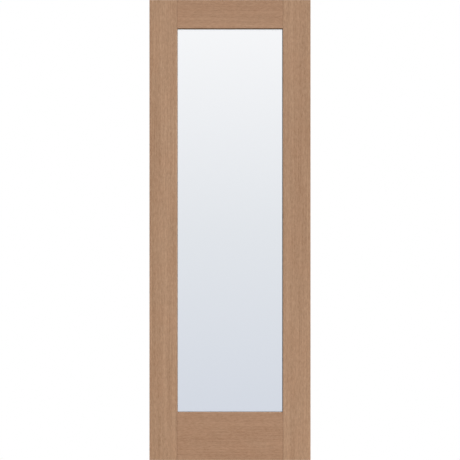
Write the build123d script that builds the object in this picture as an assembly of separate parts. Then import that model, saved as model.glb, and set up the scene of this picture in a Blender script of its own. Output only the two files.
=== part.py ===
from build123d import *

import os

# Full lite entrance door, bare leaf: veneered stiles and rails of laminated core round a sealed glass unit.
# Millimetres. X runs from the hinge edge to the lock edge, Y from the exterior face to the interior face,
# and Z up from the foot. The origin is on the hinge edge at mid thickness, level with the foot.

# Leaf, and the widths of its four members as they show on the exterior face
leaf_width = 711.2
leaf_height = 2032.0
leaf_thickness = 44.45
stile_width = 121.6
top_rail_width = 126.2
bottom_rail_width = 210.0

# Layers of a member: face veneers over a core that has a solid strip along each long edge
veneer_thickness = 3.0
edge_strip_width = 16.0
glazing_strip_width = 28.0

# Machined details of the faces
arris_radius = 1.5
opening_bevel = 0.8
joint_groove_depth = 1.0

# Glazing rebate: a splayed lip on the exterior side, open to the interior
lip_depth = 12.0
lip_splay = 2.0
rebate_width = 18.0

# Sealed unit: two panes, a spacer bar bent to a frame, butyl on its sides and sealant behind it
pane_thickness = 3.2
air_space = 12.7
pane_seam = 0.5
glass_edge_gap = 3.2
spacer_height = 7.0
spacer_back_bevel = 1.8
spacer_corner_radius = 2.0
sealant_depth = 4.5
butyl_thickness = 0.4
butyl_setback = 0.8

# Bedding of the unit
tape_thickness = 1.6
tape_width = 9.5
tape_reveal = 0.9
setting_block_height = 3.2
setting_block_length = 100.0

# Removable interior beads, which stand back a little further than the lip, so that only glass shows past it
bead_gap = 0.3
bead_setback = 4.5

# Dowels across the stile and rail joints
dowel_diameter = 16.0
dowel_length = 130.0
dowel_chamfer = 1.5
dowel_clearance = 0.1
dowel_end_relief = 2.0
top_rail_dowel_count = 2
bottom_rail_dowel_count = 3

# Levels through the thickness, from the exterior face to the interior face
exterior_y = -leaf_thickness / 2
interior_y = leaf_thickness / 2
lip_y = exterior_y + lip_depth
outer_pane_y = lip_y + tape_thickness
air_start_y = outer_pane_y + pane_thickness
air_end_y = air_start_y + air_space
unit_back_y = air_end_y + pane_thickness
bead_y = unit_back_y + tape_thickness


class Opening:
    """A rectangle in the leaf's plane, between two X and two Z values."""

    def __init__(self, left, right, low, high):
        self.left, self.right, self.low, self.high = left, right, low, high

    def grown(self, margin):
        return Opening(self.left - margin, self.right + margin, self.low - margin, self.high + margin)

    def face(self, y, corner_radius=0.0):
        """The rectangle as a face at one level of the thickness."""
        width = self.right - self.left
        height = self.high - self.low
        centre = ((self.left + self.right) / 2, y, (self.low + self.high) / 2)
        plane = Plane(origin=centre, x_dir=(1, 0, 0), z_dir=(0, 1, 0))
        if corner_radius:
            return plane * RectangleRounded(width, height, corner_radius)
        return plane * Rectangle(width, height)

    def block(self, y_from, y_to, corner_radius=0.0):
        return extrude(self.face(y_from, corner_radius), y_to - y_from)


# Openings in the leaf's plane, each set out from the one before it
face_opening = Opening(
    stile_width, leaf_width - stile_width, bottom_rail_width, leaf_height - top_rail_width
)
sight_opening = face_opening.grown(-lip_splay)
rebate_opening = sight_opening.grown(rebate_width)
bead_sight_opening = sight_opening.grown(bead_setback)
bead_face_opening = bead_sight_opening.grown(lip_splay)
glass_outline = Opening(
    rebate_opening.left + glass_edge_gap,
    rebate_opening.right - glass_edge_gap,
    rebate_opening.low + setting_block_height,
    rebate_opening.high - glass_edge_gap,
)
spacer_outline = glass_outline.grown(-sealant_depth)
air_outline = spacer_outline.grown(-spacer_height)


def box(x_from, x_to, y_from, y_to, z_from, z_to):
    return Pos(x_from, y_from, z_from) * Box(
        x_to - x_from, y_to - y_from, z_to - z_from, align=(Align.MIN, Align.MIN, Align.MIN)
    )


def splayed_block(opening_from, y_from, opening_to, y_to):
    """A block whose outline changes evenly from one opening to another through the thickness."""
    return loft([opening_from.face(y_from), opening_to.face(y_to)])


def sticking_outline(width, plane):
    """Section of a member: full thickness out to its rebate, and the splayed lip on the exterior side."""
    nose = width + lip_splay
    shoulder = nose - rebate_width
    outline = make_face(
        Polyline(
            (0, exterior_y), (width, exterior_y), (nose, lip_y),
            (shoulder, lip_y), (shoulder, interior_y), (0, interior_y), close=True,
        )
    )
    return plane * outline


def stile_blank():
    """Solid outline of the hinge stile, with its two outer long edges eased."""
    blank = extrude(sticking_outline(stile_width, Plane.XY), leaf_height)
    outer_edges = blank.edges().filter_by(Axis.Z).group_by(Axis.X)[0]
    return fillet(outer_edges, arris_radius)


def rail_blank(width):
    """Solid outline of a rail at the foot of the leaf, from shoulder to shoulder, before it is coped."""
    lock_shoulder = Plane(origin=(rebate_opening.right, 0, 0), x_dir=(0, 0, 1), z_dir=(-1, 0, 0))
    return extrude(sticking_outline(width, lock_shoulder), rebate_opening.right - rebate_opening.left)


def across_leaf(shape):
    """The same piece on the lock side."""
    return Pos(leaf_width, 0, 0) * mirror(shape, about=Plane.YZ)


def to_head(shape):
    """The same piece hung from the top of the leaf."""
    return Pos(0, 0, leaf_height) * mirror(shape, about=Plane.XY)


def dowel_centres(rail_low, rail_high, count):
    """Heights of a rail's dowels, spread evenly over its shoulder."""
    pitch = (rail_high - rail_low) / count
    return [rail_low + pitch * (i + 0.5) for i in range(count)]


def dowel_row(x_joint, heights, diameter, length):
    """Round bars along X, centred on the joint and on the shoulder behind the lip."""
    y_centre = (lip_y + interior_y) / 2
    bars = []
    for height in heights:
        centre = Plane(origin=(x_joint - length / 2, y_centre, height), z_dir=(1, 0, 0))
        bars.append(extrude(centre * Circle(diameter / 2), length))
    return bars


top_dowel_heights = dowel_centres(rebate_opening.high, leaf_height, top_rail_dowel_count)
bottom_dowel_heights = dowel_centres(0, rebate_opening.low, bottom_rail_dowel_count)
joint_lines = (rebate_opening.left, rebate_opening.right)


def dowel_bores():
    """Every dowel hole, a little wider and longer than its dowel."""
    heights = top_dowel_heights + bottom_dowel_heights
    diameter = dowel_diameter + 2 * dowel_clearance
    length = dowel_length + 2 * dowel_end_relief
    return [bore for x in joint_lines for bore in dowel_row(x, heights, diameter, length)]


def dowels(heights):
    """The dowels of one rail, chamfered at both ends so that they start easily."""
    bars = [bar for x in joint_lines for bar in dowel_row(x, heights, dowel_diameter, dowel_length)]
    return [chamfer(bar.edges().filter_by(GeomType.CIRCLE), dowel_chamfer) for bar in bars]


def joint_grooves():
    """Fine V grooves on both faces, along the lines where the rails meet the stiles."""
    half = joint_groove_depth
    exterior_points = [(-half, exterior_y), (half, exterior_y), (0, exterior_y + half)]
    interior_points = [(-half, interior_y), (0, interior_y - half), (half, interior_y)]
    exterior_v = make_face(Polyline(*exterior_points, close=True))
    interior_v = make_face(Polyline(*interior_points, close=True))
    grooves = []
    for outline, opening in ((exterior_v, face_opening), (interior_v, rebate_opening)):
        for x in (opening.left, opening.right):
            for z_from, z_to in ((0, opening.low), (opening.high, leaf_height)):
                grooves.append(Pos(x, 0, z_from) * extrude(outline, z_to - z_from))
    return grooves


def opening_bevels():
    """Cutter that eases the edge between the exterior face and the splayed lip, all round the opening."""
    splay_at_bevel = opening_bevel * lip_splay / lip_depth
    return splayed_block(
        face_opening.grown(opening_bevel), exterior_y,
        face_opening.grown(-splay_at_bevel), exterior_y + opening_bevel,
    )


def layers(blank, width, along_x):
    """Splits a member into its five pieces, from its outer edge in to the nose of its lip."""
    nose = width + lip_splay
    glazing_line = width - glazing_strip_width
    skin_start = interior_y - veneer_thickness
    skin_end = exterior_y + veneer_thickness

    def slice_of(across_from, across_to, y_from, y_to):
        if along_x:
            return blank & box(0, leaf_width, y_from, y_to, across_from, across_to)
        return blank & box(across_from, across_to, y_from, y_to, 0, leaf_height)

    return {
        "exterior_veneer": slice_of(0, nose, exterior_y, skin_end),
        "interior_veneer": slice_of(0, nose, skin_start, interior_y),
        "edge_strip": slice_of(0, edge_strip_width, skin_end, skin_start),
        "core": slice_of(edge_strip_width, glazing_line, skin_end, skin_start),
        "glazing_strip": slice_of(glazing_line, nose, skin_end, skin_start),
    }


def stiles_and_rails():
    """All twenty pieces of the frame, keyed by node name."""
    cutters = dowel_bores() + joint_grooves() + [opening_bevels()]
    hinge_stile = stile_blank()
    lock_stile = across_leaf(hinge_stile)
    members = {}
    for layer, piece in layers(hinge_stile, stile_width, along_x=False).items():
        members[f"hinge_stile_{layer}"] = piece
        members[f"lock_stile_{layer}"] = across_leaf(piece)
    for rail, width, place in (
        ("bottom_rail", bottom_rail_width, lambda shape: shape),
        ("top_rail", top_rail_width, to_head),
    ):
        blank = rail_blank(width) - hinge_stile - lock_stile
        for layer, piece in layers(blank, width, along_x=True).items():
            members[f"{rail}_{layer}"] = place(piece)
    return {name: piece - cutters for name, piece in members.items()}


def mitre_sector(side):
    """Prism that keeps one side of a rectangular frame, cut at 45 degrees through the frame's corners."""
    frame = rebate_opening.grown(-bead_gap)
    reach = rebate_width + lip_splay
    left, right, low, high = frame.left, frame.right, frame.low, frame.high
    near, far = left + reach, right - reach
    below, above = low + reach, high - reach
    corners = {
        "hinge_side": [(left, low), (left, high), (near, above), (near, below)],
        "lock_side": [(right, low), (right, high), (far, above), (far, below)],
        "top": [(left, high), (right, high), (far, above), (near, above)],
        "bottom": [(left, low), (right, low), (far, below), (near, below)],
    }[side]
    outline = make_face(Polyline(*[(x, bead_y, z) for x, z in corners], close=True))
    return extrude(outline, interior_y - bead_y, dir=(0, 1, 0))


def glazing_beads():
    """The four mitred beads that hold the unit in, splayed like the exterior lip."""
    splay_at_bevel = opening_bevel * lip_splay / (interior_y - bead_y)
    frame = rebate_opening.grown(-bead_gap).block(bead_y, interior_y)
    frame -= splayed_block(bead_sight_opening, bead_y, bead_face_opening, interior_y)
    frame -= splayed_block(
        bead_face_opening.grown(-splay_at_bevel), interior_y - opening_bevel,
        bead_face_opening.grown(opening_bevel), interior_y,
    )
    sides = ("hinge_side", "lock_side", "top", "bottom")
    return {f"{side}_bead": frame & mitre_sector(side) for side in sides}


def pane(y_from):
    """One sheet of toughened glass with seamed edges."""
    sheet = glass_outline.block(y_from, y_from + pane_thickness)
    rim = sheet.edges().group_by(Axis.Y)
    return chamfer(rim[0] + rim[-1], pane_seam)


def spacer_frame():
    """Spacer bar bent to a frame, with its back corners bevelled to take more sealant."""
    y_from = air_start_y + butyl_thickness
    y_to = air_end_y - butyl_thickness
    outer_radius = spacer_corner_radius + spacer_height
    bar = spacer_outline.block(y_from, y_to, outer_radius)
    rim = bar.edges().group_by(Axis.Y)
    bar = chamfer(rim[0] + rim[-1], spacer_back_bevel)
    return bar - air_outline.block(y_from, y_to, spacer_corner_radius)


def butyl_seals():
    """The two thin black lines of butyl between the spacer's sides and the panes."""
    line = spacer_outline.grown(-spacer_back_bevel)
    line_radius = spacer_corner_radius + spacer_height - spacer_back_bevel
    inside = air_outline.grown(butyl_setback)
    inside_radius = spacer_corner_radius + butyl_setback
    seals = []
    for y_from, y_to in (
        (air_start_y, air_start_y + butyl_thickness),
        (air_end_y - butyl_thickness, air_end_y),
    ):
        seals.append(line.block(y_from, y_to, line_radius) - inside.block(y_from, y_to, inside_radius))
    return seals


def edge_sealant(spacer, seals):
    """Secondary sealant that fills the unit's edge from behind the spacer out to the rim of the glass."""
    line = spacer_outline.grown(-spacer_back_bevel)
    line_radius = spacer_corner_radius + spacer_height - spacer_back_bevel
    fill = glass_outline.block(air_start_y, air_end_y)
    fill -= line.block(air_start_y, air_end_y, line_radius)
    return fill - [spacer, *seals]


def glazing_tape(opening, y_from):
    """Bedding tape in one run round the unit, which shows as a thin dark line inside the wood's opening."""
    inside = opening.grown(-tape_reveal)
    return inside.grown(tape_width).block(y_from, y_from + tape_thickness) - inside.block(
        y_from, y_from + tape_thickness
    )


def setting_blocks():
    """Two blocks that carry the unit's weight at its quarter points."""
    glass_width = glass_outline.right - glass_outline.left
    blocks = []
    for share in (0.25, 0.75):
        middle = glass_outline.left + share * glass_width
        blocks.append(
            box(
                middle - setting_block_length / 2, middle + setting_block_length / 2,
                outer_pane_y, unit_back_y, rebate_opening.low, glass_outline.low,
            )
        )
    return blocks


def build_nodes():
    """Every node of the leaf: its name and the solid, or list of separate solids, that it holds."""
    nodes = stiles_and_rails()
    nodes.update(glazing_beads())
    spacer = spacer_frame()
    seals = butyl_seals()
    nodes["exterior_pane"] = pane(outer_pane_y)
    nodes["interior_pane"] = pane(air_end_y)
    nodes["spacer_frame"] = spacer
    nodes["butyl_seals"] = seals
    nodes["edge_sealant"] = edge_sealant(spacer, seals)
    nodes["exterior_glazing_tape"] = glazing_tape(sight_opening, lip_y)
    nodes["interior_glazing_tape"] = glazing_tape(bead_sight_opening, unit_back_y)
    nodes["setting_blocks"] = setting_blocks()
    nodes["top_rail_dowels"] = dowels(top_dowel_heights)
    nodes["bottom_rail_dowels"] = dowels(bottom_dowel_heights)
    return nodes


os.makedirs("parts", exist_ok=True)
for node_name, shape in build_nodes().items():
    solids = shape if isinstance(shape, list) else shape.solids()
    export_step(Compound(children=list(solids)), f"parts/{node_name}.step")
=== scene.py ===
# %% [markdown]
# A full lite entrance door, dressed and lit
#
# The door leaf arrives as finished solids: stiles, rails, beads and a sealed glass unit, all at real
# size. Nothing here moves or reshapes them. This lesson gives each one the finish of the real material,
# adds the small things that are too fine for the solids, and lights the leaf the way a catalogue picture
# does. Everything is in metres, X across the leaf, Y through it from the exterior side, and Z up.

import math

import bpy
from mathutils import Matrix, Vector


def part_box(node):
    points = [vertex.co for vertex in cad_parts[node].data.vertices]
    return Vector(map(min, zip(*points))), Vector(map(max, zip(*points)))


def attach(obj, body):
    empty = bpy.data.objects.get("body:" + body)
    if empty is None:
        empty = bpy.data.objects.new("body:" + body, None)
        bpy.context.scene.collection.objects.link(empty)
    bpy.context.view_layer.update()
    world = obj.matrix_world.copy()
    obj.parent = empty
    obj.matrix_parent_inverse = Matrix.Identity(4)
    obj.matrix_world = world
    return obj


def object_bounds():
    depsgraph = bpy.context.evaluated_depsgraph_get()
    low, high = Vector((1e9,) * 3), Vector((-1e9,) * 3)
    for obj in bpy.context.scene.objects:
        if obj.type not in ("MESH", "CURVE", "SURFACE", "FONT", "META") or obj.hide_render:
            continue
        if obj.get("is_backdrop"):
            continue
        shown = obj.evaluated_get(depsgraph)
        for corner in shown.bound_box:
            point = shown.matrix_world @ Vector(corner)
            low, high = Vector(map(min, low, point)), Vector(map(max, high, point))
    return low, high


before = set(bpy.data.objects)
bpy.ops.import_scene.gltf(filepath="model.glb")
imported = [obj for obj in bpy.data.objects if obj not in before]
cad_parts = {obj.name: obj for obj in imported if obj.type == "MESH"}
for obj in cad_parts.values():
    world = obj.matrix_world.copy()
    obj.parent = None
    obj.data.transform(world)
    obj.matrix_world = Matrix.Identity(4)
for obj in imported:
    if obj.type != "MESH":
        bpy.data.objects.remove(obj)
cad_box = [list(corner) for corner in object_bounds()]
millimetre = 0.001
leaf_low, leaf_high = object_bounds()
leaf_centre = (leaf_low + leaf_high) / 2
leaf_height = leaf_high.z - leaf_low.z
print("leaf", [round(side / millimetre, 2) for side in leaf_high - leaf_low], "mm")

# %% [markdown]
# Two helpers for every material
#
# Colours are written as a painter would pick them from a screen, in sRGB hex, but the shader works in
# linear light, so one function converts them. Node trees are long to write by hand, so one more function
# adds a node of any kind, sets its options and fills or links its inputs in a single call.

# %% Colour and node helpers
def linear(hex_colour):
    """A colour such as #AB896E as linear red, green, blue and a full alpha."""
    channels = [int(hex_colour[i:i + 2], 16) / 255 for i in (1, 3, 5)]
    return [c / 12.92 if c <= 0.04045 else ((c + 0.055) / 1.055) ** 2.4 for c in channels] + [1.0]


def add_node(tree, kind, inputs=None, **settings):
    """Adds a node, sets its options, then gives each input a value or a link from another node."""
    node = tree.nodes.new(kind)
    for option, value in settings.items():
        setattr(node, option, value)
    for name, value in (inputs or {}).items():
        if isinstance(value, bpy.types.NodeSocket):
            tree.links.new(value, node.inputs[name])
        else:
            node.inputs[name].default_value = value
    return node


def new_material(name):
    """An empty material with its output node: returns the material, its tree and the output."""
    material = bpy.data.materials.new(name)
    material.use_nodes = True
    material.node_tree.nodes.clear()
    return material, material.node_tree, add_node(material.node_tree, "ShaderNodeOutputMaterial")


def dress(material, *nodes):
    """Gives each named piece of the leaf its material without touching its mesh."""
    for name in nodes:
        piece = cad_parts[name]
        if not piece.material_slots:
            piece.data.materials.append(material)
        for slot in piece.material_slots:
            slot.link = "OBJECT"
            slot.material = material
    print(material.name, "on", ", ".join(nodes))


print("half grey on the screen is", round(linear("#808080")[0], 3), "in linear light")

# %% [markdown]
# Rift sliced oak, the face of the door
#
# The faces are oak veneer, sliced at a slant to the growth rings. The cut gives straight, quiet grain:
# broad soft bands of tone, narrow streaks that run for half a metre, short flecks where rays and pores
# crowd together, fine ring lines one or two millimetres apart, and pores that show as short dark dashes.
# Painting one flat brown and adding noise looks like plastic. Here each of those scales is its own
# stretched noise, sized from the real wood, and they are mixed by weight.
#
# Wood is solid, so the pattern is too: it lives in three dimensions and a face only cuts through it. The
# ring planes are turned about the grain by the slicing angle, so an end face shows slanting rings, as it
# should.

# %% Sizes of oak grain, in millimetres across and along
band_size = (62, 2500)
streak_size = (8, 480)
ring_size = (1.6, 420)
pore_size = (0.36, 7)
blush_size = (60, 110)
# One ray is finer than this and would vanish in a picture of the whole leaf, so a fleck is as wide as a
# small cluster of them.
fleck_size = (4.6, 18)
rift_angle = math.radians(38)
ring_reach = 30
print("oak rings are", ring_size[0], "mm apart and pores", pore_size[0], "mm wide")

# %% Lay stretched noise along the grain
slide_shares = (1.0, 0.7, 1.3)


def grain_frame(tree, along):
    """Coordinates whose Z follows the grain, whichever way the piece lies in the leaf."""
    place = add_node(tree, "ShaderNodeTexCoord").outputs["Object"]
    turn = {"upright": (0, 0, 0), "level": (0, math.radians(90), 0)}[along]
    stood = add_node(tree, "ShaderNodeMapping", {"Vector": place, "Rotation": turn}).outputs["Vector"]
    sliced = add_node(tree, "ShaderNodeMapping", {"Vector": stood, "Rotation": (0, 0, rift_angle)})
    return sliced.outputs["Vector"]


def stretched_noise(tree, place, size, offset, detail=2, roughness=0.5, flat=1.0):
    """Noise with cells long along the grain, slid by offset. flat widens them within the ring plane."""
    across, along = (1 / (side * millimetre) for side in size)
    mapped = add_node(tree, "ShaderNodeMapping", {
        "Vector": place, "Location": [offset * share for share in slide_shares],
        "Scale": (across, across / flat, along),
    })
    noise = add_node(tree, "ShaderNodeTexNoise", {
        "Vector": mapped.outputs["Vector"], "Scale": 1.0, "Detail": detail, "Roughness": roughness,
    })
    return noise.outputs["Fac"]


# %% Weigh the grain's scales
noise_middle = 0.5
band_weight = 0.44
streak_weight = 0.26
ring_weight = 0.49
fleck_weight = 0.75


def weighted_sum(tree, terms):
    """A tone about one half, moved by (weight, socket) pairs of noise that swing about one half too."""
    total = noise_middle
    for weight, socket in terms:
        centred = add_node(tree, "ShaderNodeMath", {
            0: socket, 1: noise_middle,
        }, operation="SUBTRACT").outputs[0]
        total = add_node(tree, "ShaderNodeMath", {
            0: centred, 1: weight, 2: total,
        }, operation="MULTIPLY_ADD").outputs[0]
    return total


print("what runs the whole length weighs", round(band_weight + streak_weight + ring_weight, 2))

# %% Draw the figure of the wood
blush_tint = "#FFF8F5"
# The ring noise is high in late wood and low in early wood, and late wood keeps few of the pores.
late_wood_rings = 0.58
early_wood_rings = 0.4
late_wood_pores = 0.25
# A pore starts where its noise passes the first value and is darkest from the second.
pore_edge = 0.55
pore_heart = 0.68
pore_darkness = 0.55


def wood_figure(tree, place, pale, dark, offset, run=1.0):
    """Colour, pores and rings of a wood from pale to dark. run weighs what runs the whole length."""
    # Each scale is slid by its own amount, so that no two of them line up.
    bands = stretched_noise(tree, place, band_size, offset)
    streaks = stretched_noise(tree, place, streak_size, offset + 3)
    rings = stretched_noise(tree, place, ring_size, offset + 5, roughness=0.6, flat=ring_reach)
    pores = stretched_noise(tree, place, pore_size, offset + 8, detail=1)
    flecks = stretched_noise(tree, place, fleck_size, offset + 11, roughness=0.6)
    blush = stretched_noise(tree, place, blush_size, offset + 14, detail=1)

    tone = weighted_sum(tree, [
        (band_weight * run, bands), (streak_weight * run, streaks),
        (ring_weight * run, rings), (fleck_weight, flecks),
    ])
    toned = add_node(tree, "ShaderNodeMix", {
        "Factor": tone, "A": linear(dark), "B": linear(pale),
    }, data_type="RGBA", clamp_factor=True).outputs["Result"]
    colour = add_node(tree, "ShaderNodeMix", {
        "Factor": blush, "A": toned, "B": linear(blush_tint),
    }, data_type="RGBA", blend_type="MULTIPLY").outputs["Result"]

    early_wood = add_node(tree, "ShaderNodeMapRange", {
        "Value": rings, "From Min": late_wood_rings, "From Max": early_wood_rings,
        "To Min": late_wood_pores, "To Max": 1.0,
    }).outputs["Result"]
    pore_depth = add_node(tree, "ShaderNodeMapRange", {
        "Value": pores, "From Min": pore_edge, "From Max": pore_heart,
        "To Min": 0.0, "To Max": pore_darkness,
    }).outputs["Result"]
    pore = add_node(tree, "ShaderNodeMath", {
        0: early_wood, 1: pore_depth,
    }, operation="MULTIPLY").outputs[0]
    return colour, pore, rings


# %% [markdown]
# End grain
#
# Where a saw cuts across the grain, open fibres drink the coat and the wood goes darker and duller. The
# face's own direction tells the shader where that is: a face that looks along the grain is an end face.
# The same trick finds the fine V grooves where rails meet stiles, since only their flanks lie at 45
# degrees to the door's face. Those flanks get painted shade, a thin darker line that stands in for the
# shadow deep in each groove.
#
# The coat is a thin matt lacquer. It follows the pores and ring lines, which sink and stand by a few
# hundredths of a millimetre, so the eye gets a soft broken sheen and never a mirror.

# %% Darken end faces and pores, and paint shade in the grooves
end_grain_share = 0.7
end_face_starts = 0.75
end_face_full = 0.9
groove_slant = math.sin(math.radians(45))
groove_slack = 0.02
# Painted shade: a V groove's flanks are darkened by this share towards the same brown as the pores.
groove_shade = 0.35
pore_and_groove_shade_brown = "#3A281B"


def shade_wood(tree, along, colour, pore, end_shade):
    """Darkens a wood's colour on its end faces and in its pores, and paints shade on the V grooves'
    flanks.
    """
    normal = add_node(tree, "ShaderNodeNewGeometry").outputs["True Normal"]
    parts = add_node(tree, "ShaderNodeSeparateXYZ", {"Vector": normal})
    facing = parts.outputs[{"upright": "Z", "level": "X"}[along]]
    lengthwise = add_node(tree, "ShaderNodeMath", {0: facing}, operation="ABSOLUTE").outputs[0]
    end_face = add_node(tree, "ShaderNodeMapRange", {
        "Value": lengthwise, "From Min": end_face_starts, "From Max": end_face_full,
        "To Min": 0.0, "To Max": end_grain_share,
    }).outputs["Result"]
    with_ends = add_node(tree, "ShaderNodeMix", {
        "Factor": end_face, "A": colour, "B": linear(end_shade),
    }, data_type="RGBA", blend_type="MULTIPLY").outputs["Result"]
    slant = add_node(tree, "ShaderNodeMath", {0: parts.outputs["Y"]}, operation="ABSOLUTE").outputs[0]
    # Painted shade: a flank at 45 degrees to the face, the wall of a V groove, is darkened as if in
    # shadow.
    in_groove = add_node(tree, "ShaderNodeMath", {
        0: slant, 1: groove_slant, 2: groove_slack,
    }, operation="COMPARE").outputs[0]
    painted_groove_shade = add_node(tree, "ShaderNodeMath", {
        0: in_groove, 1: groove_shade,
    }, operation="MULTIPLY").outputs[0]
    dark = add_node(tree, "ShaderNodeMath", {0: pore, 1: painted_groove_shade}, operation="MAXIMUM").outputs[0]
    return add_node(tree, "ShaderNodeMix", {
        "Factor": dark, "A": with_ends, "B": linear(pore_and_groove_shade_brown),
    }, data_type="RGBA").outputs["Result"]


# %% Lay relief and the coat over the wood
coat_depth = 0.05 * millimetre
coat_shine = 0.2
lacquer_ior = 1.46
ring_relief = 0.25
relief_strength = 0.6


def finish_wood(tree, output, along, colour, pore, rings, roughness, end_shade="#7A5A3E"):
    """Joins the shaded colour and the relief of rings and pores into one coated surface."""
    relief = add_node(tree, "ShaderNodeMath", {0: rings, 1: ring_relief}, operation="MULTIPLY").outputs[0]
    height = add_node(tree, "ShaderNodeMath", {0: relief, 1: pore}, operation="SUBTRACT").outputs[0]
    bump = add_node(tree, "ShaderNodeBump", {
        "Height": height, "Strength": relief_strength, "Distance": coat_depth,
    })
    surface = add_node(tree, "ShaderNodeBsdfPrincipled", {
        "Base Color": shade_wood(tree, along, colour, pore, end_shade), "Roughness": roughness,
        "Normal": bump.outputs["Normal"], "IOR": lacquer_ior, "Specular IOR Level": coat_shine,
    })
    tree.links.new(surface.outputs["BSDF"], output.inputs["Surface"])


def coated_wood(name, along, pale, dark, offset, roughness, run=1.0):
    """A material of one wood that lies one way in the leaf. offset picks another part of the wood."""
    material, tree, output = new_material(name)
    colour, pore, rings = wood_figure(tree, grain_frame(tree, along), pale, dark, offset, run)
    finish_wood(tree, output, along, colour, pore, rings, roughness)
    return material


# %% [markdown]
# Oak for each member
#
# The rails' oak is made a shade darker than the stiles', and its long figure quieter. The solid
# strips and beads are planed where the veneer is sanded, so they are a little smoother. Grain runs the
# length of its member, upright in the stiles and level in the rails. So the same oak is made once for
# each way, and no solid has to be turned.

# %% Dress the members in oak
# Each tool leaves the wood this rough under its coat. The rails' long bands, streaks and rings are weaker.
sanded = 0.55
planed = 0.5
rail_run = 0.75
veneer_upright = coated_wood(
    "rift_oak_veneer_upright", "upright", "#CCA98C", "#8C6A4D", offset=9, roughness=sanded
)
veneer_level = coated_wood(
    "rift_oak_veneer_level", "level", "#C39F83", "#906D51", offset=23, roughness=sanded, run=rail_run
)
solid_upright = coated_wood(
    "planed_oak_upright", "upright", "#CAA78A", "#8D6A4D", offset=40, roughness=planed
)
solid_level = coated_wood(
    "planed_oak_level", "level", "#C39F82", "#906D50", offset=60, roughness=planed, run=rail_run
)

members_dressed = (
    (("hinge_stile", "lock_stile"), veneer_upright, solid_upright),
    (("top_rail", "bottom_rail"), veneer_level, solid_level),
)
for members, veneer, solid in members_dressed:
    dress(veneer, *(f"{member}_{face}_veneer" for member in members for face in ("exterior", "interior")))
    dress(solid, *(f"{member}_{strip}_strip" for member in members for strip in ("edge", "glazing")))
dress(solid_upright, "hinge_side_bead", "lock_side_bead")
dress(solid_level, "top_bead", "bottom_bead")

# %% [markdown]
# The core's staves
#
# Under the veneer is softwood, sawn into staves about as wide as a thumb, turned this way and that so
# that they can't all warp together, and glued side by side. It shows at the head and the foot of the
# stiles. The solid is one block, so the material does the sawing: it counts staves along the face,
# starts the grain afresh in each one and draws the thin dark glue line where two of them meet. The figure
# is the oak's own mix of scales in paler colours, and a sawn surface is the dullest of the wood.

# %% Find each stave and its glue line
stave_width = 26 * millimetre
stave_turn = 2.1
glue_line_width = 0.5 * millimetre


def staved_frame(tree, along):
    """Grain coordinates that start afresh in each stave, and the share of glue at a place."""
    place = add_node(tree, "ShaderNodeTexCoord").outputs["Object"]
    parts = add_node(tree, "ShaderNodeSeparateXYZ", {"Vector": place})
    across = parts.outputs[{"upright": "X", "level": "Z"}[along]]
    count = add_node(tree, "ShaderNodeMath", {0: across, 1: stave_width}, operation="DIVIDE").outputs[0]
    number = add_node(tree, "ShaderNodeMath", {0: count}, operation="FLOOR").outputs[0]
    share = add_node(tree, "ShaderNodeMath", {0: count}, operation="FRACT").outputs[0]
    glue = add_node(tree, "ShaderNodeMath", {
        0: share, 1: glue_line_width / stave_width,
    }, operation="LESS_THAN").outputs[0]
    turn = add_node(tree, "ShaderNodeMath", {0: number, 1: stave_turn}, operation="MULTIPLY").outputs[0]
    turned = add_node(tree, "ShaderNodeVectorRotate", {
        "Vector": grain_frame(tree, along), "Angle": turn,
    }, rotation_type="Z_AXIS").outputs["Vector"]
    return turned, glue


core_low, core_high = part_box("hinge_stile_core")
print("a stile's core is", round((core_high.x - core_low.x) / stave_width, 1), "staves wide")

# %% Dress the cores in staves
sawn = 0.7
stave_pale = "#E2C69E"
stave_dark = "#B3905F"
stave_end_shade = "#B49A78"


def staved_core(name, along, offset):
    """A material of glued softwood staves that lie one way in the leaf."""
    material, tree, output = new_material(name)
    place, glue = staved_frame(tree, along)
    colour, pore, rings = wood_figure(tree, place, stave_pale, stave_dark, offset)
    dark = add_node(tree, "ShaderNodeMath", {0: pore, 1: glue}, operation="MAXIMUM").outputs[0]
    finish_wood(tree, output, along, colour, dark, rings, sawn, end_shade=stave_end_shade)
    return material


core_upright = staved_core("staved_softwood_upright", "upright", offset=80)
core_level = staved_core("staved_softwood_level", "level", offset=100)
dress(core_upright, "hinge_stile_core", "lock_stile_core")
dress(core_level, "top_rail_core", "bottom_rail_core")

# %% [markdown]
# The dowels
#
# Dowels of beech, pale and close grained, join the rails to the stiles. They stay hidden in the joints,
# but every solid gets its real material, for whoever takes the leaf apart. A lathe leaves beech a little
# rougher than a plane leaves oak.

# %% Dress the dowels
turned = 0.6
turned_beech = coated_wood("turned_beech", "level", "#D9B894", "#BF9972", offset=120, roughness=turned)
dress(turned_beech, "top_rail_dowels", "bottom_rail_dowels")

# %% [markdown]
# Float glass
#
# Clear glass bends light, reflects a twenty-fifth of it at each face and tints it only at its edges.
# What the eye meets, and what a mirror sharp ray meets, is that glass. Light on its way to the wood is
# another matter: a renderer finds it by chance rays, and real glass would give them hard black shadows
# or stray glow. Those rays, for shadows, matt surfaces and soft gloss, pass straight through, as
# daylight does through a flat pane.

# %% Make the glass
glass_tint = "#FEFFFE"
glass_ior = 1.52
glass_material, tree, output = new_material("clear_float_glass")
pane_shader = add_node(tree, "ShaderNodeBsdfPrincipled", {
    "Base Color": linear(glass_tint), "Roughness": 0.0, "IOR": glass_ior,
    "Transmission Weight": 1.0,
})
shadow_shader = add_node(tree, "ShaderNodeBsdfTransparent", {"Color": linear(glass_tint)})
clear, straight = pane_shader.outputs[0], shadow_shader.outputs[0]

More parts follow.
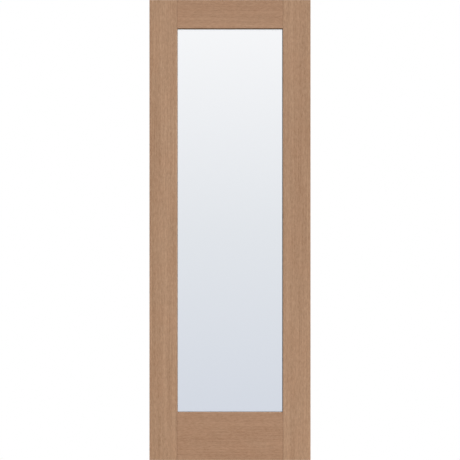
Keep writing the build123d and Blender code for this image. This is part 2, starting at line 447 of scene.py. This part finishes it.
# %% Send each kind of ray its own way
ray = add_node(tree, "ShaderNodeLightPath")
for_gloss = add_node(tree, "ShaderNodeMixShader", {
    0: ray.outputs["Is Singular Ray"], 1: straight, 2: clear,
}).outputs[0]
for_seen = add_node(tree, "ShaderNodeMixShader", {
    0: ray.outputs["Is Glossy Ray"], 1: clear, 2: for_gloss,
}).outputs[0]
for_bounces = add_node(tree, "ShaderNodeMixShader", {
    0: ray.outputs["Is Diffuse Ray"], 1: for_seen, 2: straight,
}).outputs[0]
for_shadows = add_node(tree, "ShaderNodeMixShader", {
    0: ray.outputs["Is Shadow Ray"], 1: for_bounces, 2: straight,
}).outputs[0]
tree.links.new(for_shadows, output.inputs["Surface"])
dress(glass_material, "exterior_pane", "interior_pane")

# %% [markdown]
# The glass unit's edge
#
# Between the panes runs a roll formed aluminium bar. Rolling leaves it dull and finely scratched, so it
# scatters light instead of mirroring it. It is bedded in black butyl, which stays soft and slightly
# glossy, and sealed behind with polysulphide, matt where it was struck off. Foam tape beds the unit on
# both sides: its cut cells swallow light, so it is the dullest of all. Rubber blocks, matt and near
# black, carry the glass. Most of this shows only as a thin line at a slant through the glass, but that
# dark line is what makes a sealed unit look like one.
#
# All five are one kind of surface: two near tones, broken by a fine grit and by broad patches from
# handling. The grit is drawn several times coarser than real scratches and cells, which would be too
# fine to show.

# %% A helper for rolled and moulded surfaces
# A patch is this many millimetres across. Grit and patch noise add up, and the first tone turns into the
# second between the low and the high sum.
patch_size = 14
patch_low = 0.75
patch_high = 1.25
tone_detail = 2.0
sheen_spread = 0.08
grit_strength = 0.4


def plain_surface(name, colour, patch, roughness, metallic=0.0, grit=0.2, grit_depth=0.02):
    """A surface of two near tones, with its sheen and relief broken by a grit. Sizes are in mm."""
    material, tree, output = new_material(name)
    place = add_node(tree, "ShaderNodeTexCoord").outputs["Object"]
    noise, handled = (
        add_node(tree, "ShaderNodeTexNoise", {
            "Vector": place, "Scale": 1 / (size * millimetre), "Detail": tone_detail,
        }).outputs["Fac"] for size in (grit, patch_size)
    )
    both = add_node(tree, "ShaderNodeMath", {0: noise, 1: handled}, operation="ADD").outputs[0]
    tone = add_node(tree, "ShaderNodeMapRange", {
        "Value": both, "From Min": patch_low, "From Max": patch_high,
    }).outputs["Result"]
    toned = add_node(tree, "ShaderNodeMix", {
        "Factor": tone, "A": linear(colour), "B": linear(patch),
    }, data_type="RGBA").outputs["Result"]
    varied = add_node(tree, "ShaderNodeMapRange", {
        "Value": noise, "To Min": roughness - sheen_spread, "To Max": roughness + sheen_spread,
    }).outputs["Result"]
    bump = add_node(tree, "ShaderNodeBump", {
        "Height": noise, "Strength": grit_strength, "Distance": grit_depth * millimetre,
    })
    surface = add_node(tree, "ShaderNodeBsdfPrincipled", {
        "Base Color": toned, "Metallic": metallic, "Roughness": varied,
        "Normal": bump.outputs["Normal"],
    })
    tree.links.new(surface.outputs[0], output.inputs["Surface"])
    return material


# %% Make the spacer and the seals
spacer_aluminium = plain_surface(
    "mill_finish_aluminium", "#96989A", "#828487", roughness=0.8, metallic=1.0, grit=0.4
)
butyl = plain_surface("black_butyl", "#1A1A1B", "#222223", roughness=0.5)
sealant = plain_surface("black_polysulphide", "#202022", "#2A2A2C", roughness=0.6)
foam_tape = plain_surface("closed_cell_foam_tape", "#282725", "#33312E", roughness=0.85, grit=0.5)
block_rubber = plain_surface("setting_block_rubber", "#242424", "#2E2D2C", roughness=0.7)
dress(spacer_aluminium, "spacer_frame")
dress(butyl, "butyl_seals")
dress(sealant, "edge_sealant")
dress(foam_tape, "exterior_glazing_tape", "interior_glazing_tape")
dress(block_rubber, "setting_blocks")

# %% [markdown]
# Rows made by Geometry Nodes
#
# Two things repeat in rows on this leaf: the pins that hold its beads, and the slots in its spacer bar.
# Both are grown the same way. A tree takes loose lines, cuts each into steps of one pitch, stands a copy
# of a shape on every point and makes the copies real. Its sizes are named inputs, set by each socket's
# identifier before Blender first works the tree out. The result is then kept as a plain mesh and the
# modifier goes, so that what is left is ordinary geometry.

# %% Lines and trees for Geometry Nodes
def line_mesh(name, lines):
    """Loose straight edges, one for each pair of points."""
    mesh = bpy.data.meshes.new(name)
    points = [point for line in lines for point in line]
    mesh.from_pydata(points, [(i, i + 1) for i in range(0, len(points), 2)], [])
    return mesh


def new_node_tree(name, sizes):
    """A geometry tree with named size inputs: returns the tree, its input node and its output node."""
    tree = bpy.data.node_groups.new(name, "GeometryNodeTree")
    tree.interface.new_socket("Geometry", in_out="INPUT", socket_type="NodeSocketGeometry")
    for size in sizes:
        tree.interface.new_socket(size, in_out="INPUT", socket_type="NodeSocketFloat")
    tree.interface.new_socket("Material", in_out="INPUT", socket_type="NodeSocketMaterial")
    tree.interface.new_socket("Geometry", in_out="OUTPUT", socket_type="NodeSocketGeometry")
    return tree, add_node(tree, "NodeGroupInput"), add_node(tree, "NodeGroupOutput")


# %% Stand copies along the lines
def stand_copies(tree, given, result, shape, **turned_by):
    """Stands a shape at every step of the lines, makes the copies real and gives them the material."""
    curve = add_node(tree, "GeometryNodeMeshToCurve", {"Mesh": given.outputs["Geometry"]}).outputs["Curve"]
    points = add_node(tree, "GeometryNodeResampleCurve", {
        "Curve": curve, "Length": given.outputs["Pitch"],
    }, mode="LENGTH").outputs["Curve"]
    placed = add_node(tree, "GeometryNodeInstanceOnPoints", {
        "Points": points, "Instance": shape, **turned_by,
    }).outputs["Instances"]
    real = add_node(tree, "GeometryNodeRealizeInstances", {"Geometry": placed}).outputs["Geometry"]
    finished = add_node(tree, "GeometryNodeSetMaterial", {
        "Geometry": real, "Material": given.outputs["Material"],
    }).outputs["Geometry"]
    tree.links.new(finished, result.inputs["Geometry"])


def grow(name, base_mesh, tree, values):
    """Runs a geometry tree on a mesh and returns the result as an object with a plain mesh."""
    base = bpy.data.objects.new(name, base_mesh)
    bpy.context.scene.collection.objects.link(base)
    modifier = base.modifiers.new(name, "NODES")
    modifier.node_group = tree
    sockets = {item.name: item.identifier for item in tree.interface.items_tree if item.in_out == "INPUT"}
    for label, value in values.items():
        modifier[sockets[label]] = value
    graph = bpy.context.evaluated_depsgraph_get()
    made = bpy.data.meshes.new_from_object(base.evaluated_get(graph))
    base.modifiers.remove(modifier)
    base.data = made
    made.name = name
    print(name, len(made.polygons), "faces")
    return base


# %% [markdown]
# Bead pins
#
# The interior beads are held by fine steel pins, driven through them into the rebate and set level with
# the wood. Only their heads show, each a disc under two millimetres across, at an even pitch along every
# bead. Placing over two dozen discs by hand would be slow to change, so they are grown as a row on a line
# down the middle of each bead, and the pitch is an input. Drawn wire cut for pins is bright, and the
# hammer leaves each head a little domed, so the edge is eased.

# %% Line out the pins
bead_names = ("hinge_side_bead", "lock_side_bead", "top_bead", "bottom_bead")
pin_line_inset = 5.5 * millimetre
pin_corner_distance = 50 * millimetre
pin_pitch = 150 * millimetre
pin_diameter = 1.8 * millimetre
pin_stand = 0.12 * millimetre

frame_low = Vector(map(min, *(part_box(name)[0] for name in bead_names)))
frame_high = Vector(map(max, *(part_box(name)[1] for name in bead_names)))
left, right = frame_low.x + pin_line_inset, frame_high.x - pin_line_inset
low, high = frame_low.z + pin_line_inset, frame_high.z - pin_line_inset
bead_face = frame_high.y

pin_lines = line_mesh("pin_lines", [
    ((left, bead_face, low + pin_corner_distance), (left, bead_face, high - pin_corner_distance)),
    ((right, bead_face, low + pin_corner_distance), (right, bead_face, high - pin_corner_distance)),
    ((left + pin_corner_distance, bead_face, low), (right - pin_corner_distance, bead_face, low)),
    ((left + pin_corner_distance, bead_face, high), (right - pin_corner_distance, bead_face, high)),
])
print("pin lines", len(pin_lines.edges), "between", round(left, 4), "and", round(right, 4))

# %% Drive the pins
rim_share = 0.8
head_sides = 16
towards_interior = (math.radians(-90), 0, 0)
bright_steel = plain_surface(
    "bright_steel_pin", "#BEBBB5", "#A5A19A", roughness=0.4, metallic=1.0, grit=0.3, grit_depth=0.01
)
tree, given, result = new_node_tree("pin_row", ["Pitch", "Diameter", "Stand"])
half = add_node(tree, "ShaderNodeMath", {
    0: given.outputs["Diameter"], 1: 2.0,
}, operation="DIVIDE").outputs[0]
rim = add_node(tree, "ShaderNodeMath", {0: half, 1: rim_share}, operation="MULTIPLY").outputs[0]
head = add_node(tree, "GeometryNodeMeshCone", {
    "Vertices": head_sides, "Radius Top": rim, "Radius Bottom": half, "Depth": given.outputs["Stand"],
}).outputs["Mesh"]
stand_copies(tree, given, result, head, Rotation=towards_interior)
bead_pins = grow("bead_pins", pin_lines, tree, {
    "Pitch": pin_pitch, "Diameter": pin_diameter, "Stand": pin_stand, "Material": bright_steel,
})
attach(bead_pins, "root")

# %% [markdown]
# Spacer perforations
#
# The spacer bar is hollow and full of drying beads, which reach the sealed air through two rows of fine
# slots punched in the bar's inner face. They are half a millimetre wide, and a slant look through the
# glass lands right on them. The bar runs straight along all four sides, so each row has four lines,
# which stop short of the bent corners. Each line is cut into equal steps and a slot is laid on every
# point, turned to the line's own direction. A slot shows the shadow inside the bar, so it is a thin dark
# plate and no hole is cut.

# %% Line out the slots
slot_pitch = 5.0 * millimetre
slot_length = 1.8 * millimetre
slot_width = 0.5 * millimetre
slot_stand = 0.03 * millimetre
slot_row_spread = 5.0 * millimetre
spacer_height = 7.0 * millimetre
slot_corner_distance = 6.0 * millimetre

spacer_low, spacer_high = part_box("spacer_frame")
spacer_middle = (spacer_low.y + spacer_high.y) / 2
inner_low = spacer_low + Vector((spacer_height, 0, spacer_height))
inner_high = spacer_high - Vector((spacer_height, 0, spacer_height))


def slot_lines(y):
    """The four straight runs of one row, each clear of the bar's bent corners."""
    from_x, to_x = inner_low.x + slot_corner_distance, inner_high.x - slot_corner_distance
    from_z, to_z = inner_low.z + slot_corner_distance, inner_high.z - slot_corner_distance
    return [
        ((from_x, y, inner_low.z), (to_x, y, inner_low.z)),
        ((to_x, y, inner_high.z), (from_x, y, inner_high.z)),
        ((inner_high.x, y, from_z), (inner_high.x, y, to_z)),
        ((inner_low.x, y, to_z), (inner_low.x, y, from_z)),
    ]


half_spread = slot_row_spread / 2
slot_rows = slot_lines(spacer_middle - half_spread) + slot_lines(spacer_middle + half_spread)
print("slot lines", len(slot_rows), "at a pitch of", round(slot_pitch / millimetre, 1), "mm")

# %% Punch the slots
slot_sides = 8
through_leaf = (0, 1, 0)
slot_dark = plain_surface("shadowed_slot", "#151518", "#1D1D20", roughness=0.8)
tree, given, result = new_node_tree("slot_row", ["Pitch", "Length", "Width", "Stand"])
slot_size = add_node(tree, "ShaderNodeCombineXYZ", {
    "X": given.outputs["Length"], "Y": given.outputs["Width"], "Z": given.outputs["Stand"],
}).outputs["Vector"]
# This shape is one across and two deep, so that its sizes scale it and half its depth stands proud.
slot_shape = add_node(tree, "GeometryNodeMeshCylinder", {
    "Vertices": slot_sides, "Radius": 0.5, "Depth": 2.0,
}).outputs["Mesh"]
tangent = add_node(tree, "GeometryNodeInputTangent").outputs["Tangent"]
inward = add_node(tree, "ShaderNodeVectorMath", {
    0: tangent, 1: through_leaf,
}, operation="CROSS_PRODUCT").outputs["Vector"]
along_run = add_node(tree, "FunctionNodeAlignRotationToVector", {
    "Vector": tangent,
}, axis="X").outputs["Rotation"]
facing_in = add_node(tree, "FunctionNodeAlignRotationToVector", {
    "Rotation": along_run, "Vector": inward,
}, axis="Z", pivot_axis="X").outputs["Rotation"]
stand_copies(tree, given, result, slot_shape, Rotation=facing_in, Scale=slot_size)
spacer_slots = grow("spacer_slots", line_mesh("slot_lines", slot_rows), tree, {
    "Pitch": slot_pitch, "Length": slot_length, "Width": slot_width, "Stand": slot_stand,
    "Material": slot_dark,
})
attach(spacer_slots, "root")

# %% [markdown]
# Stage and light
#
# The picture is a catalogue cut-out: white all round, and the light from the upper right. A world of one
# grey gives the fill, a sun gives the key, and a second sun behind gives the interior side its light. A
# third shines level from the hinge side, in the leaf's own plane. It reaches the hinge edge, which the
# key never sees, and the stile keeps it off everything else.

# %% Light the leaf
key_level = 3.15
back_level = 2.6
side_level = 1.6
key_from = Vector((0.75, -1.0, 0.75))
back_from = Vector((0.35, 1.0, 0.33))
side_from = Vector((-1.0, 0.0, 0.0))


def add_sun(name, level, light_from, softness=3.0):
    """A sun that shines from a direction. softness is how wide its disc looks, in degrees."""
    lamp = bpy.data.lights.new(name, "SUN")
    lamp.energy = level
    lamp.angle = math.radians(softness)
    sun = bpy.data.objects.new(name, lamp)
    sun.rotation_euler = light_from.to_track_quat("Z", "Y").to_euler()
    bpy.context.scene.collection.objects.link(sun)
    print(name, "shines at level", level)


add_sun("key_sun", key_level, key_from)
add_sun("back_sun", back_level, back_from)
add_sun("side_sun", side_level, side_from, softness=1.0)

# %% [markdown]
# What each ray finds
#
# The world is white where the camera looks, and pale sky through the glass, greying towards the ground.
# The glass mirrors plain white. The matt coat's soft gloss finds a studio that is white on the key's
# side and overhead and dim on the other, which is why the splays that face the light catch a pale sheen.
# A ray that has bounced off a matt surface finds the plain grey fill, wherever it looks.

# %% Mix the sky behind the glass
sky_colours = (("#D3D7E3", 0.0), ("#E2E4EB", 0.47), ("#F7F6FA", 1.0))
# How steeply a ray falls or rises where the sky has its lowest and its highest colour.
sky_low, sky_high = -0.133, 0.147


def sky_gradient(tree, height):
    """Pale sky by height: greyer and bluer low down, near white high up."""
    share = add_node(tree, "ShaderNodeMapRange", {
        "Value": height, "From Min": sky_low, "From Max": sky_high,
    })
    ramp = add_node(tree, "ShaderNodeValToRGB", {"Fac": share.outputs["Result"]})
    for i, (colour, position) in enumerate(sky_colours):
        stop = ramp.color_ramp.elements[i] if i < 2 else ramp.color_ramp.elements.new(position)
        stop.position = position
        stop.color = linear(colour)
    return ramp.outputs["Color"]


print("sky runs from", sky_colours[0][0], "to", sky_colours[-1][0])

# %% Brighten the studio on the key's side
studio_dim = 0.05
studio_blend = 0.3
overhead_weight = 0.6
world = bpy.data.worlds.new("studio")
bpy.context.scene.world = world
world.use_nodes = True
tree = world.node_tree
tree.nodes.clear()
direction = add_node(tree, "ShaderNodeTexCoord").outputs["Generated"]
parts = add_node(tree, "ShaderNodeSeparateXYZ", {"Vector": direction})
key_side = add_node(tree, "ShaderNodeMath", {
    0: parts.outputs["Z"], 1: overhead_weight, 2: parts.outputs["X"],
}, operation="MULTIPLY_ADD").outputs[0]
studio = add_node(tree, "ShaderNodeMapRange", {
    "Value": key_side, "From Min": -studio_blend, "From Max": studio_blend,
    "To Min": studio_dim, "To Max": 1.0,
}).outputs["Result"]

# %% Show each ray its own surroundings
fill_level = 0.29
plain_white = [1.0] * 4
# Diffuse Depth counts a ray's bounces off matt surfaces, so it is under this only before the first one.
before_matt_bounce = 0.5


def seen_rays(tree):
    """A tree's light path, and a socket that is one where the eye looks, directly or by reflection."""
    ray = add_node(tree, "ShaderNodeLightPath")
    seen = add_node(tree, "ShaderNodeMath", {
        0: ray.outputs["Is Camera Ray"], 1: ray.outputs["Is Glossy Ray"],
    }, operation="MAXIMUM").outputs[0]
    return ray, seen


ray, seen = seen_rays(tree)
in_mirror = add_node(tree, "ShaderNodeMix", {
    "Factor": ray.outputs["Is Singular Ray"], "A": studio, "B": plain_white,
}, data_type="RGBA").outputs["Result"]
in_gloss = add_node(tree, "ShaderNodeMix", {
    "Factor": ray.outputs["Is Glossy Ray"], "A": plain_white, "B": in_mirror,
}, data_type="RGBA").outputs["Result"]
bright = add_node(tree, "ShaderNodeMix", {
    "Factor": ray.outputs["Is Transmission Ray"],
    "A": in_gloss, "B": sky_gradient(tree, parts.outputs["Z"]),
}, data_type="RGBA").outputs["Result"]
unscattered = add_node(tree, "ShaderNodeMath", {
    0: ray.outputs["Diffuse Depth"], 1: before_matt_bounce,
}, operation="LESS_THAN").outputs[0]
looked_at = add_node(tree, "ShaderNodeMath", {0: seen, 1: unscattered}, operation="MULTIPLY").outputs[0]
lit = add_node(tree, "ShaderNodeMix", {
    "Factor": looked_at, "A": [fill_level] * 3 + [1.0], "B": bright,
}, data_type="RGBA").outputs["Result"]
background = add_node(tree, "ShaderNodeBackground", {"Color": lit, "Strength": 1.0})
add_node(tree, "ShaderNodeOutputWorld", {"Surface": background.outputs[0]})
print("the world has", len(tree.nodes), "nodes and a fill of", fill_level)

# %% [markdown]
# The floor
#
# The leaf stands on a white disc. Only its foot's own shade shows, soft and close to the wood, and it
# keeps within the leaf's width, so nothing grey spoils the white beside it. Through the glass the disc
# takes the sky's lowest colour, and light that bounces off it is kept grey, or it would glow up the
# door's foot.

# %% Lay the floor
floor_radius = 1.6
floor_sides = 96
floor_mesh = bpy.data.meshes.new("floor")
angles = [2 * math.pi * i / floor_sides for i in range(floor_sides)]
corners = [(leaf_centre.x + floor_radius * math.cos(a), floor_radius * math.sin(a), 0.0) for a in angles]
floor_mesh.from_pydata(corners, [], [list(range(floor_sides))])
floor = bpy.data.objects.new("floor", floor_mesh)
bpy.context.scene.collection.objects.link(floor)
print("floor", 2 * floor_radius, "m across")

# %% Shade the floor at the leaf's foot
shadow_reach = 0.25
shadow_share = 0.5
shadow_end_fade = 0.14
half_width = (leaf_high.x - leaf_low.x) / 2
floor_material, tree, output = new_material("pale_studio_floor")
place = add_node(tree, "ShaderNodeTexCoord").outputs["Object"]
away = add_node(tree, "ShaderNodeMapping", {
    "Vector": place, "Location": (-leaf_centre.x, 0, 0),
}).outputs["Vector"]
parts = add_node(tree, "ShaderNodeSeparateXYZ", {"Vector": away})
distance = add_node(tree, "ShaderNodeMath", {0: parts.outputs["Y"]}, operation="ABSOLUTE").outputs[0]
sideways = add_node(tree, "ShaderNodeMath", {0: parts.outputs["X"]}, operation="ABSOLUTE").outputs[0]
near = add_node(tree, "ShaderNodeMapRange", {
    "Value": distance, "From Min": 0.0, "From Max": shadow_reach, "To Min": shadow_share, "To Max": 0.0,
}, interpolation_type="SMOOTHSTEP").outputs["Result"]
within = add_node(tree, "ShaderNodeMapRange", {
    "Value": sideways, "From Min": half_width - shadow_end_fade, "From Max": half_width,
    "To Min": 1.0, "To Max": 0.0,
}, interpolation_type="SMOOTHSTEP").outputs["Result"]
shade = add_node(tree, "ShaderNodeMath", {0: near, 1: within}, operation="MULTIPLY").outputs[0]
print("shade reaches", shadow_reach, "m out and fades over", shadow_end_fade, "m at each end")

# %% Show each ray its own floor
shaded_paint = "#F6F6F6"
bounce_grey = 0.3
ray, seen = seen_rays(tree)
white = add_node(tree, "ShaderNodeEmission", {"Color": plain_white, "Strength": 1.0}).outputs[0]
pale = add_node(tree, "ShaderNodeBsdfDiffuse", {"Color": linear(shaded_paint)}).outputs[0]
grey = add_node(tree, "ShaderNodeBsdfDiffuse", {"Color": [bounce_grey] * 3 + [1.0]}).outputs[0]
beyond = add_node(tree, "ShaderNodeEmission", {
    "Color": linear(sky_colours[0][0]), "Strength": 1.0,
}).outputs[0]
seen_floor = add_node(tree, "ShaderNodeMixShader", {0: shade, 1: white, 2: pale}).outputs[0]
bounced = add_node(tree, "ShaderNodeMixShader", {0: seen, 1: grey, 2: seen_floor}).outputs[0]
through = add_node(tree, "ShaderNodeMixShader", {
    0: ray.outputs["Is Transmission Ray"], 1: bounced, 2: beyond,
}).outputs[0]
tree.links.new(through, output.inputs["Surface"])
floor_mesh.materials.append(floor_material)
floor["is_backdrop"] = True

# %% [markdown]
# The camera
#
# A long lens six metres off looks square at the middle of the exterior face. The stand off comes from
# the leaf's height and the lens, so that head and foot just touch the picture's edges.

# %% Point the camera
lens_length = 106.0
sensor_width = 36.0
overscan = 1.001
camera_data = bpy.data.cameras.new("camera")
camera_data.lens = lens_length
camera_data.sensor_width = sensor_width
camera = bpy.data.objects.new("camera", camera_data)
stand_off = leaf_height / 2 / (sensor_width / 2 / lens_length) / overscan
camera.location = (leaf_centre.x, leaf_low.y - stand_off, leaf_centre.z)
camera.rotation_euler = (math.radians(90), 0, 0)
bpy.context.scene.collection.objects.link(camera)
bpy.context.scene.camera = camera
bpy.context.scene.view_settings.view_transform = "Standard"
print("camera stands", round(stand_off, 3), "m from the exterior face")

# %% [markdown]
# The last look at the sizes
#
# The dressed leaf is measured once more and its box is kept beside the solids' own, so that anything
# which has outgrown the leaf is found at once.

# %% Measure the dressed leaf against its solids
visual_box = [list(corner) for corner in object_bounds()]
growth = [round((dressed - bare) / millimetre, 2) for bare, dressed in zip(cad_box[1], visual_box[1])]
print("the dressed leaf stands", growth, "mm past its solids")
